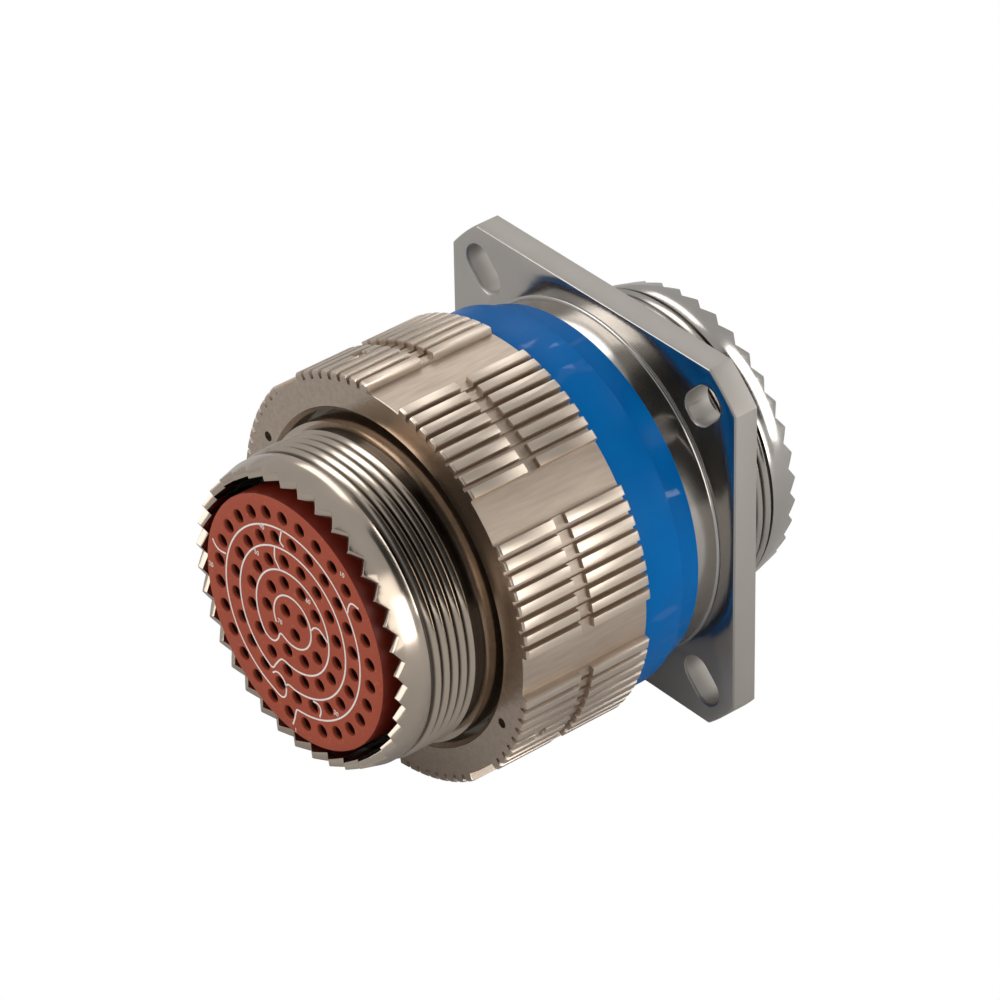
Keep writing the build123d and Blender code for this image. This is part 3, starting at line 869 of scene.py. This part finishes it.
def backdrop_finish():
    finish = Finish("white_backdrop")
    finish.put("Base Color", FLOOR_GREY)
    finish.put("Roughness", 0.9)
    rays = finish.tree.nodes.new("ShaderNodeLightPath")
    seen = Value(finish, rays.outputs["Is Camera Ray"])
    glow = finish.node("ShaderNodeEmission", {}, {"Color": (1, 1, 1, 1), "Strength": 1.0})
    body = Value(finish, finish.shader.outputs[0])
    mixed = finish.node("ShaderNodeMixShader", {}, {0: seen, 1: body, 2: glow})
    output = finish.tree.nodes["Material Output"]
    finish.tree.links.new(mixed.socket, output.inputs["Surface"])
    return finish.material


object_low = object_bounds()[0]
floor_maker = bmesh.new()
bmesh.ops.create_grid(
    floor_maker, x_segments=8, y_segments=8, size=FLOOR_SIZE / 2,
    matrix=Matrix.Translation((0, FLOOR_MIDDLE, object_low.z - FLOOR_DROP)))
floor_mesh = bpy.data.meshes.new("floor")
floor_maker.to_mesh(floor_mesh)
floor_maker.free()
floor_mesh.materials.append(backdrop_finish())
floor = bpy.data.objects.new("floor", floor_mesh)
bpy.context.collection.objects.link(floor)

# %% [markdown]
# Metal looks like metal only when bright and dark things stand round it. A turned part mirrors a whole ring
# of the room, so each panel's place round the axis decides where its band of light falls. Large soft lamps
# give the bright bands; dark cards, which only reflections see, give the black ones. A panel is given by
# its two angles, the degrees that it covers round the axis and along it and, for a lamp, its brightness.

# %% Lamps
WORLD_LEVEL = 0.5
world = bpy.data.worlds.new("studio")
bpy.context.scene.world = world
world.use_nodes = True
world_nodes = world.node_tree.nodes
world_links = world.node_tree.links
background = world_nodes["Background"]
background.inputs["Color"].default_value = (1, 1, 1, 1)
ray_kind = world_nodes.new("ShaderNodeLightPath")
level = world_nodes.new("ShaderNodeMapRange")
level.inputs["To Min"].default_value = WORLD_LEVEL
level.inputs["To Max"].default_value = 1.0
world_links.new(ray_kind.outputs["Is Camera Ray"], level.inputs["Value"])
world_links.new(level.outputs["Result"], background.inputs["Strength"])

WORK_POINT = Vector((0, -20 * MM, 0))
PANEL_DISTANCE = 600 * MM
WARM_WHITE = (1.0, 0.96, 0.9)
CARD_BLACK = (0.01, 0.01, 0.012, 1.0)


def panel_matrix(around, along):
    """Place of a panel: its angle round the axis from +X to +Z, and how far its direction leans to +Y."""
    reach = cos(radians(along))
    towards = Vector((reach * cos(radians(around)), sin(radians(along)), reach * sin(radians(around))))
    side = Vector((-sin(radians(around)), 0, cos(radians(around))))
    turned = Matrix((side, towards.cross(side), towards)).transposed().to_4x4()
    return Matrix.Translation(WORK_POINT + towards * PANEL_DISTANCE) @ turned


def panel_size(degrees_across):
    """Width of a panel that covers so many degrees as seen from the part."""
    return 2 * PANEL_DISTANCE * tan(radians(degrees_across / 2))


def soft_lamp(name, around, along, spread, depth, brightness, tint=(1, 1, 1)):
    lamp = bpy.data.lights.new(name, "AREA")
    lamp.shape = "RECTANGLE"
    lamp.size = panel_size(spread)
    lamp.size_y = panel_size(depth)
    lamp.energy = brightness * pi * lamp.size * lamp.size_y
    lamp.color = tint
    holder = bpy.data.objects.new(name, lamp)
    bpy.context.collection.objects.link(holder)
    holder.matrix_world = panel_matrix(around, along)


def dark_card(name, around, along, spread, depth):
    finish = Finish(name)
    finish.put("Base Color", CARD_BLACK)
    finish.put("Roughness", 0.9)
    card_maker = bmesh.new()
    bmesh.ops.create_grid(card_maker, x_segments=1, y_segments=1, size=0.5)
    bmesh.ops.scale(card_maker, verts=card_maker.verts, vec=(panel_size(spread), panel_size(depth), 1))
    mesh = bpy.data.meshes.new(name)
    card_maker.to_mesh(mesh)
    card_maker.free()
    mesh.materials.append(finish.material)
    card = bpy.data.objects.new(name, mesh)
    bpy.context.collection.objects.link(card)
    card.matrix_world = panel_matrix(around, along)
    card.visible_camera = False
    card.visible_diffuse = False
    card.visible_shadow = False


soft_lamp("key_softbox", 128, 33, 42, 14, 2.1)
soft_lamp("top_left_strip", 126, -32, 34, 14, 2.8)
soft_lamp("right_softbox", 20, 0, 46, 30, 1.4, WARM_WHITE)
soft_lamp("upper_right_strip", 44, 57, 50, 14, 4.0)
soft_lamp("right_rear_softbox", 8, 14, 34, 20, 3.4)
soft_lamp("front_left_softbox", 158, -52, 46, 30, 1.6)
soft_lamp("front_right_softbox", -28, -50, 40, 30, 1.3, WARM_WHITE)
dark_card("upper_right_card", 50, 34, 46, 30)
dark_card("view_card", 40, -36, 84, 44)

# %% View transform and close
bpy.context.scene.view_settings.view_transform = "Standard"
